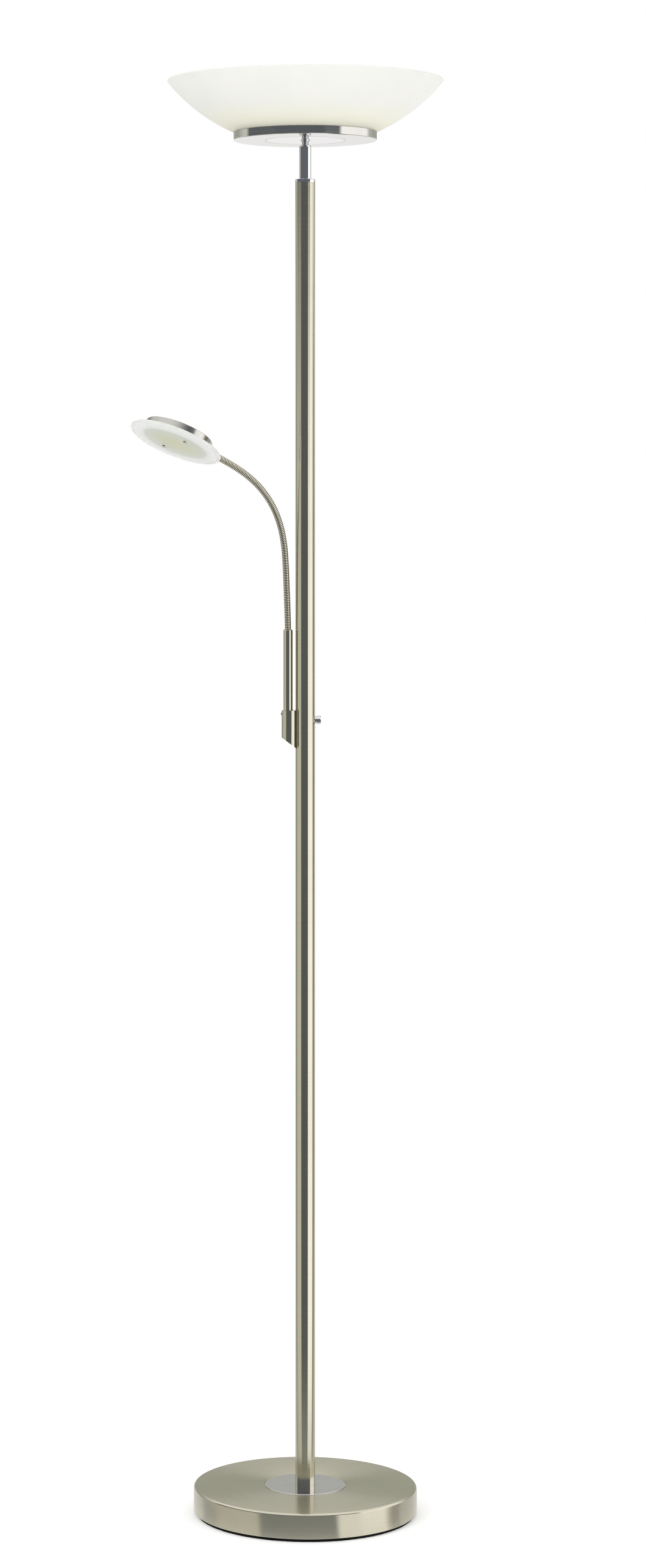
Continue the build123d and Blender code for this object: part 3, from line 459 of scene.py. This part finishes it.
GLOW_SHARE = 0.35  # of light that milky glass lets through, scattered
OPAL = (0.93, 0.93, 0.90)
OPAL_DEEP = (0.91, 0.915, 0.88)
OPAL_PAINTED_SHADE = (0.94, 0.93, 0.83)  # painted shade: the module behind the glass, shown as cream low on the bowl
OPAL_CLEAR = (0.97, 0.98, 0.95)
OPAL_CLEAR_SHARE = 0.10
OPAL_CLOUD = 25.0
OPAL_SPAN = (0.25, 0.75)
OPAL_ROUGH = (0.34, 0.44)
PAINTED_SHADE_HIGH = 28 * MM
FOOT_HIGH = 6 * MM  # from the bowl's lowest edge to where the painted shade begins to fade
bowl_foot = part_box("uplight_glass")[0].z + FOOT_HIGH


def opal(name):
    """Satin opal glass: matt white that lets some light through from behind; low on the bowl a cream
    painted shade stands in for the module seen through it.
    """

    def build(w):
        cloud = w.noise(w.rest_point(), OPAL_CLOUD, detail=2.0)
        plain_milk = w.mix(w.span(cloud, *OPAL_SPAN), rgba(OPAL_DEEP), rgba(OPAL))
        level = w.node("ShaderNodeSeparateXYZ", {"Vector": w.rest_point()}).outputs["Z"]
        # painted shade: the bowl is painted cream towards its foot, for the module behind the glass
        foot = w.span(level, bowl_foot, bowl_foot + PAINTED_SHADE_HIGH, 1.0, 0.0)
        colour = w.mix(foot, plain_milk, rgba(OPAL_PAINTED_SHADE))
        skin = w.node(
            "ShaderNodeBsdfPrincipled",
            {"Base Color": colour, "Roughness": w.span(cloud, *CLOUD_SPAN, *OPAL_ROUGH), "IOR": 1.45},
        ).outputs[0]
        glow = w.node("ShaderNodeBsdfTranslucent", {"Color": colour}).outputs[0]
        milk = w.blend(GLOW_SHARE, skin, glow)
        clear = w.node("ShaderNodeBsdfTransparent", {"Color": rgba(OPAL_CLEAR)}).outputs[0]
        return w.blend(OPAL_CLEAR_SHARE, milk, clear)

    return finished(name, build)


head_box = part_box("reading_glass")
drum_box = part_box("reading_drum")
head_centre = (head_box[0] + head_box[1]) / 2
drum_centre = (drum_box[0] + drum_box[1]) / 2
head_axis = (drum_centre - head_centre).normalized()
GLASS_CLOUD = 60.0
GLASS_ROUGH = (0.38, 0.48)
CLEAR_ROUGH = (0.02, 0.05)
CLEAR_R = 55.4 * MM  # outside this lies the polished border
SHADE_R = 41.8 * MM  # inside this the drum's shade is painted on the glass
SHADE_SOFT = 0.8 * MM
CLEAR_SOFT = 0.3 * MM
RIM_PALE = (0.965, 0.97, 0.96)
RIM_WHITE = (0.98, 0.985, 0.975)
PAINTED_SHADE_WARM = (0.87, 0.87, 0.68)  # painted shade at the middle of the drum
PAINTED_SHADE_COOL = (0.86, 0.88, 0.82)  # painted shade at its edge
SATIN_THROUGH = (0.95, 0.97, 0.93)
SATIN_THROUGH_SHARE = 0.06
CLEAR_COLOUR = (0.93, 0.97, 0.94)
CLEAR_SHARE = 0.45  # how clear the border is


def reading_glass(name):
    """Satin glass with a polished border that is partly clear; the shade of the drum behind it is
    painted on as a soft disc."""

    def build(w):
        distance = w.round_axis(head_centre, head_axis)[2]
        cloud = w.noise(w.rest_point(), GLASS_CLOUD, detail=2.0)
        rim_colour = w.mix(w.span(cloud, *CLOUD_SPAN), rgba(RIM_PALE), rgba(RIM_WHITE))
        # painted shade: a disc inside the drum's radius, warmer at its middle
        drum_painted_shade = w.mix(w.span(distance, 0.0, SHADE_R), rgba(PAINTED_SHADE_WARM), rgba(PAINTED_SHADE_COOL))
        satin_colour = w.mix(w.span(distance, SHADE_R - SHADE_SOFT, SHADE_R), drum_painted_shade, rim_colour)
        skin = w.node(
            "ShaderNodeBsdfPrincipled",
            {"Base Color": satin_colour, "Roughness": w.span(cloud, *CLOUD_SPAN, *GLASS_ROUGH)},
        ).outputs[0]
        glow = w.node("ShaderNodeBsdfTranslucent", {"Color": satin_colour}).outputs[0]
        through = w.node("ShaderNodeBsdfTransparent", {"Color": rgba(SATIN_THROUGH)}).outputs[0]
        satin = w.blend(SATIN_THROUGH_SHARE, w.blend(GLOW_SHARE, skin, glow), through)
        clear = w.node(
            "ShaderNodeBsdfPrincipled",
            {
                "Base Color": rgba(CLEAR_COLOUR), "Transmission Weight": 1.0, "IOR": 1.48,
                "Roughness": w.span(cloud, *CLOUD_SPAN, *CLEAR_ROUGH),
            },
        ).outputs[0]
        border = w.span(distance, CLEAR_R, CLEAR_R + CLEAR_SOFT, 0.0, CLEAR_SHARE)
        return w.blend(border, satin, clear)

    return finished(name, build)


ORIGIN = Vector((0, 0, 0))
arm_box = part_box("arm_tube")
arm_foot = (arm_box[0] + arm_box[1]) / 2
arm_foot.z = 0

finishes = {
    "black_pad": plain(
        "felt", (0.004, 0.004, 0.004), (0.012, 0.012, 0.011), 0.85, scale=1500.0, bump=0.4 * MM,
        **{"Specular IOR Level": 0.15},
    ),
    "disc_chrome": plain(
        "disc_chrome", (0.84, 0.83, 0.87), (0.80, 0.79, 0.83), 0.05, metallic=1.0, scale=40.0,
    ),
    "polished_chrome": plain(
        "chrome", (0.80, 0.80, 0.80), (0.76, 0.76, 0.765), 0.035, metallic=1.0, scale=40.0,
    ),
    "opal_glass": opal("opal_glass"),
    "satin_glass": reading_glass("satin_glass"),
    "black_rubber": plain(
        "rubber", (0.02, 0.02, 0.021), (0.035, 0.035, 0.035), 0.6, bump=0.05 * MM,
    ),
    "cast_iron": plain(
        "cast_iron", (0.14, 0.14, 0.145), (0.22, 0.215, 0.21), 0.65, metallic=0.6, bump=0.3 * MM,
    ),
    "zinc_steel": plain("zinc_steel", (0.60, 0.61, 0.62), (0.48, 0.49, 0.52), 0.32, metallic=1.0),
    "black_steel": plain("black_steel", (0.03, 0.03, 0.032), (0.06, 0.058, 0.055), 0.35, metallic=0.7),
    "black_plastic": plain(
        "black_plastic", (0.035, 0.035, 0.037), (0.05, 0.05, 0.05), 0.5, scale=900.0, bump=0.03 * MM,
    ),
    "lead_jacket": plain("lead_jacket", (0.72, 0.72, 0.70), (0.66, 0.66, 0.64), 0.5),
    "white_aluminium": plain(
        "white_aluminium", (0.90, 0.88, 0.74), (0.86, 0.84, 0.70), 0.45, bump=0.05 * MM,
    ),
    "board": plain("board", (0.86, 0.87, 0.84), (0.80, 0.82, 0.78), 0.4),
    "led": plain("led", (0.88, 0.80, 0.30), (0.90, 0.84, 0.42), 0.3, scale=900.0),
    "phosphor_cover": plain("phosphor_cover", (0.87, 0.86, 0.66), (0.84, 0.83, 0.60), 0.4, scale=60.0),
    "white_plastic": plain("white_plastic", (0.88, 0.89, 0.83), (0.84, 0.85, 0.78), 0.4, scale=120.0),
    "flex_steel": plain(
        "flex_wire", (0.86, 0.83, 0.69), (0.72, 0.69, 0.56), 0.09, metallic=1.0, scale=700.0,
    ),
}
# painted shade: near-black faces at the bottom of each groove stand in for the shade between the turns
# of wire
groove_painted_shade = plain("flex_groove_painted_shade", (0.03, 0.027, 0.02), (0.05, 0.045, 0.035), 0.5, scale=700.0)

nickel_rings = {
    # node: centre and axis of its brush marks, and its radius
    "base_cover": (ORIGIN, UP, 140 * MM),
    "pole_tube": (ORIGIN, UP, 12.5 * MM),
    "uplight_pan": (ORIGIN, UP, 90 * MM),
    "arm_tube": (arm_foot, UP, 6 * MM),
    "reading_bracket": (arm_foot, UP, 10 * MM),
    "reading_drum": (drum_centre, head_axis, 43.5 * MM),
    "flex_ferrule": (drum_centre, head_axis, 43.5 * MM),
    "glass_screws": (head_centre, head_axis, 3 * MM),
}

cover_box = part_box("base_cover")
base_r = cover_box[1].x
base_top = cover_box[1].z
EDGE_ROUND = 3.0 * MM  # rounding of the base's upper edge
nickel_ways = {
    "base_cover": {
        "roughness": 0.23, "anisotropy": 0.97, "polished_edge": (base_r, base_top, EDGE_ROUND),
    },
    "pole_tube": {"roughness": 0.14},
    "uplight_pan": {"roughness": 0.07, "anisotropy": 0.3, "tones": (SILVER_DARK, SILVER)},
    "reading_drum": {"roughness": 0.16, "tones": (DRUM_DARK, SILVER_DARK)},
}

slot_of = {part["node"]: part["material_slot"] for part in record["subparts"]}
special_finish = {"base_disc": "disc_chrome"}  # a piece finished apart from its slot
for name, piece in nodes.items():
    if name in nickel_rings:
        centre, axis, radius = nickel_rings[name]
        finish = brushed("nickel_" + name, centre, axis, radius, **nickel_ways.get(name, {}))
    else:
        finish = finishes[special_finish.get(name, slot_of[name])]
    for index in range(len(piece.data.materials)):
        piece.data.materials[index] = finish


# ------------------------------------------------------------------ flexible arm
# One wound wire, continuous from the arm tube to the ferrule.  Its line is the smooth
# curve that touches every straight stretch of the jointed arm at its middle.
RIB_PITCH = 2.117 * MM
WIRE_R = 4.25 * MM  # from the arm's middle line to the top of the wire
GROOVE_R = 3.3 * MM
SIDES = 24
SECTION_SHARES = (0.17, 0.27, 0.38, 0.5, 0.62, 0.73, 0.83)  # of a pitch, across the wire
HELD_DEPTH = 10 * MM  # how far the hose goes down into the arm tube
END_DEPTH = 5 * MM  # how far it goes into the reading light's ferrule
FLEX_STUB = 4.6 * MM  # how far above the arm tube its first corner lies
CURVE_STEPS = 24
WAY_STEP = 0.4 * MM  # over which the line's direction is read

arm_joints = [joint for joint in frame["joints"] if joint["name"].startswith("arm_")]
bend_points = [Vector(joint["pos_m"]) for joint in arm_joints]
chain = [arm_joints[0]["parent"]] + [joint["child"] for joint in arm_joints]
tube_top = Vector((arm_foot.x, arm_foot.y, arm_box[1].z))
hose_foot = tube_top + UP * FLEX_STUB
hose_start = tube_top - UP * HELD_DEPTH
last_run = (bend_points[-1] - bend_points[-2]).normalized()
arm_side = UP.cross(bend_points[-1] - hose_foot).normalized()


def smooth_line(corners, steps):
    """Points of the curve that rounds each corner between the middles of its two runs."""
    line = [corners[0]]
    for before, corner, after in zip(corners, corners[1:], corners[2:]):
        first = before if before is corners[0] else (before + corner) / 2
        last = after if after is corners[-1] else (corner + after) / 2
        for step in range(1, steps + 1):
            t = step / steps
            line.append(first * (1 - t) ** 2 + corner * (2 * t * (1 - t)) + last * t ** 2)
    return line


class Line:
    """A line of points, read by the distance along it."""

    def __init__(self, points):
        self.points = points
        self.at = [0.0]
        for one, two in zip(points, points[1:]):
            self.at.append(self.at[-1] + (two - one).length)
        self.length = self.at[-1]

    def point(self, distance):
        index = 0
        while index < len(self.at) - 2 and self.at[index + 1] < distance:
            index += 1
        share = (distance - self.at[index]) / (self.at[index + 1] - self.at[index])
        return self.points[index].lerp(self.points[index + 1], share)

    def way(self, distance):
        return (self.point(distance + WAY_STEP) - self.point(distance - WAY_STEP)).normalized()

    def nearest(self, place):
        index = min(range(len(self.points)), key=lambda i: (self.points[i] - place).length)
        return self.at[index]


hose_end = bend_points[-1] + last_run * END_DEPTH
flex_line = Line(smooth_line([hose_start, hose_foot] + bend_points + [hose_end], CURVE_STEPS))

# the sections of one turn: (share of the pitch, share of the wire's height)
rib_sections = [(0.0, 0.0)]
for share in SECTION_SHARES:
    rib_sections.append((share, math.sqrt(1 - (2 * share - 1) ** 2)))
rows_per_turn = len(rib_sections)


def winding():
    """Corners and faces of the whole winding, with each face's distance along the line and whether it
    lies in the groove, where shade is painted."""
    turns = int((flex_line.length - RIB_PITCH) / RIB_PITCH)
    corners, faces = [], []
    for row in range(turns * rows_per_turn + 1):
        turn, section = divmod(row, rows_per_turn)
        share, rise = rib_sections[section]
        radius = GROOVE_R + (WIRE_R - GROOVE_R) * rise
        for side in range(SIDES):
            distance = (turn + share + side / SIDES) * RIB_PITCH
            centre, way = flex_line.point(distance), flex_line.way(distance)
            angle = 2 * math.pi * side / SIDES
            out = arm_side * math.cos(angle) + way.cross(arm_side) * math.sin(angle)
            corners.append(centre + out * radius)
    last_row = turns * rows_per_turn

    def corner(row, side):
        """The number of a corner, or None past the end of the wire."""
        if side == SIDES:
            row, side = row + rows_per_turn, 0
        return row * SIDES + side if row <= last_row else None

    for row in range(last_row):
        section = row % rows_per_turn
        # the faces at the bottom of each groove get the painted shade
        groove = section in (0, 1, rows_per_turn - 1)
        for side in range(SIDES):
            loop = [corner(row, side), corner(row, side + 1)]
            loop += [corner(row + 1, side + 1), corner(row + 1, side)]
            if None not in loop:
                distance = (row / rows_per_turn + side / SIDES) * RIB_PITCH
                faces.append((loop, distance, groove))
    return corners, faces


def mesh_piece(name, corners, faces, materials):
    """An object of some faces (corner numbers, material number) of a set of corners."""
    used = sorted({c for loop, _ in faces for c in loop})
    place = {c: i for i, c in enumerate(used)}
    mesh = bpy.data.meshes.new(name)
    mesh.from_pydata([corners[c] for c in used], [], [[place[c] for c in loop] for loop, _ in faces])
    for material in materials:
        mesh.materials.append(material)
    for polygon, (_, number) in zip(mesh.polygons, faces):
        polygon.material_index = number
        polygon.use_smooth = True
    mesh.update()
    piece = bpy.data.objects.new(name, mesh)
    bpy.context.scene.collection.objects.link(piece)
    return piece


def make_hose():
    """Cuts the winding at the middle of each run into pieces, each in place of a link of the arm; only
    the first is attached to a body, the arm tube's.
    """
    corners, faces = winding()
    middles = [(one + two) / 2 for one, two in zip(bend_points, bend_points[1:])]
    half_run = (bend_points[1] - bend_points[0]).length / 2
    foot_way = (bend_points[0] - hose_foot).normalized()
    marks = [bend_points[0] - foot_way * half_run] + middles + [bend_points[-1]]
    cuts = [flex_line.nearest(mark) for mark in marks]
    ends = [-math.inf] + cuts[:-1] + [math.inf]
    for number, (low, high) in enumerate(zip(ends, ends[1:])):
        chosen = [(loop, int(groove)) for loop, at, groove in faces if low <= at < high]
        name = "flex_hose_foot" if number == 0 else f"flex_hose_{number:02d}"
        piece = mesh_piece(name, corners, chosen, (finishes["flex_steel"], groove_painted_shade))
        if number == 0:
            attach(piece, chain[0])
            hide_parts("flex_root")
        else:
            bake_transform(piece)
            if f"flex_link_{number:02d}" in nodes:
                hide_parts(f"flex_link_{number:02d}")


make_hose()


# ------------------------------------------------------------------ base cover
TURN_SIDES = 256
CORD_HOLE_R = 5.0 * MM  # clear hole behind the grommet
CORD_HOLE_LENGTH = 12 * MM
CORD_HOLE_SIDES = 48
LIP_ROUND = 1.1 * MM  # rolled lower edge of the cover
COVER_WALL = 1.2 * MM
TUBE_GAP = 0.3 * MM  # between the tie tube and the cover
SEAT_GAP = 0.7 * MM  # between the polished disc and its seat in the cover
SEAT_ROUND = 0.3 * MM
SHARP_ANGLE = math.radians(30)


def arc(centre, radius, start, end, steps=10):
    """Points (distance from the axis, height) along an arc given in degrees."""
    points = []
    for step in range(steps + 1):
        angle = math.radians(start + (end - start) * step / steps)
        across, up = radius * math.cos(angle), radius * math.sin(angle)
        points.append((centre[0] + across, centre[1] + up))
    return points


def turned_corner(distance, height, side, sides):
    """A corner at one of the sides of a turn about the pole's axis."""
    angle = 2 * math.pi * side / sides
    return Vector((distance * math.cos(angle), distance * math.sin(angle), height))


def ring_faces(below, above, sides):
    """The faces between two rings of corners, each given by its first corner."""
    faces = []
    for side in range(sides):
        after = (side + 1) % sides
        faces.append(([below + side, below + after, above + after, above + side], 0))
    return faces


def turned(name, outline, finish):
    """A closed outline (distance, height) turned about the pole's axis."""
    corners, faces = [], []
    for distance, height in outline:
        for side in range(TURN_SIDES):
            corners.append(turned_corner(distance, height, side, TURN_SIDES))
    for row in range(len(outline)):
        next_row = (row + 1) % len(outline)
        faces += ring_faces(row * TURN_SIDES, next_row * TURN_SIDES, TURN_SIDES)
    piece = mesh_piece(name, corners, faces, (finish,))
    piece.data.set_sharp_from_angle(angle=SHARP_ANGLE)
    return piece


def cut_cord_hole(piece, centre, way):
    """Cuts the round hole of the cord by a boolean with a short rod, and applies it."""
    bpy.ops.mesh.primitive_cylinder_add(
        vertices=CORD_HOLE_SIDES, radius=CORD_HOLE_R, depth=CORD_HOLE_LENGTH, location=centre,
    )
    rod = bpy.context.object
    rod.rotation_mode = "QUATERNION"
    rod.rotation_quaternion = Vector(way).to_track_quat("Z", "X")
    cut = piece.modifiers.new("hole", "BOOLEAN")
    cut.operation = "DIFFERENCE"
    cut.object = rod
    cut.solver = "EXACT"
    depsgraph = bpy.context.evaluated_depsgraph_get()
    mesh = bpy.data.meshes.new_from_object(piece.evaluated_get(depsgraph))
    piece.modifiers.remove(cut)
    piece.data = mesh
    bpy.data.objects.remove(rod)


def make_cover():
    """The spun cover of the base, with its rounded upper edge and rolled lower edge."""
    disc_low, disc_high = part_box("base_disc")
    hole_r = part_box("base_tie_tube")[1].x + TUBE_GAP
    seat_r = disc_high.x + SEAT_GAP
    seat = disc_low.z
    low = cover_box[0].z
    inner_r = base_r - COVER_WALL
    edge_centre = (base_r - EDGE_ROUND, base_top - EDGE_ROUND)
    # outside, from the hole outwards and down, then back along the inside
    outline = [(hole_r, seat), (seat_r, seat)]
    outline += arc((seat_r + SEAT_ROUND, base_top - SEAT_ROUND), SEAT_ROUND, 180, 90, steps=4)
    outline += arc(edge_centre, EDGE_ROUND, 90, 0)
    outline += arc((base_r - LIP_ROUND, low + LIP_ROUND), LIP_ROUND, 0, -90, steps=6)
    outline += [(inner_r - COVER_WALL, low), (inner_r - COVER_WALL, low + COVER_WALL)]
    outline.append((inner_r, low + 2 * COVER_WALL))
    outline += arc(edge_centre, EDGE_ROUND - COVER_WALL, 0, 90, steps=6)
    outline.append((seat_r + COVER_WALL, base_top - COVER_WALL))
    outline += [(seat_r + COVER_WALL, seat - COVER_WALL), (hole_r, seat - COVER_WALL)]
    piece = turned("base_cover_spun", outline, nodes["base_cover"].data.materials[0])
    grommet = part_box("cord_grommet")
    cord_place = Vector((0, base_r, (grommet[0].z + grommet[1].z) / 2))
    cut_cord_hole(piece, cord_place, (0, 1, 0))
    piece.data.set_sharp_from_angle(angle=SHARP_ANGLE)
    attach(piece, "lamp")
    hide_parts("base_cover")


make_cover()


# ------------------------------------------------------------------ felt pad
PAD_SIDES = 360
PAD_LEVELS = (0.0, 0.3, 0.7, 1.0)  # of the pad's thickness
FRAY_IN = 0.45 * MM
FRAY_OUT = FRAY_IN * 0.3
PAD_SEED = 7


def make_pad():
    """The pad under the base, with the frayed edge of cut felt."""
    low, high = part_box("base_pad")
    radius = high.x
    thick = high.z - low.z
    draw = random.Random(PAD_SEED)
    corners, faces = [], []
    for level in PAD_LEVELS:
        for side in range(PAD_SIDES):
            reach = radius + draw.uniform(-FRAY_IN, FRAY_OUT)
            corners.append(turned_corner(reach, low.z + thick * level, side, PAD_SIDES))
    for row in range(len(PAD_LEVELS) - 1):
        faces += ring_faces(row * PAD_SIDES, (row + 1) * PAD_SIDES, PAD_SIDES)
    top = (len(PAD_LEVELS) - 1) * PAD_SIDES
    faces.append((list(reversed(range(PAD_SIDES))), 0))
    faces.append((list(range(top, top + PAD_SIDES)), 0))
    piece = mesh_piece("base_pad_felt", corners, faces, (finishes["black_pad"],))
    for polygon in piece.data.polygons:
        polygon.use_smooth = len(polygon.vertices) == 4
    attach(piece, "lamp")
    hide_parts("base_pad")


make_pad()
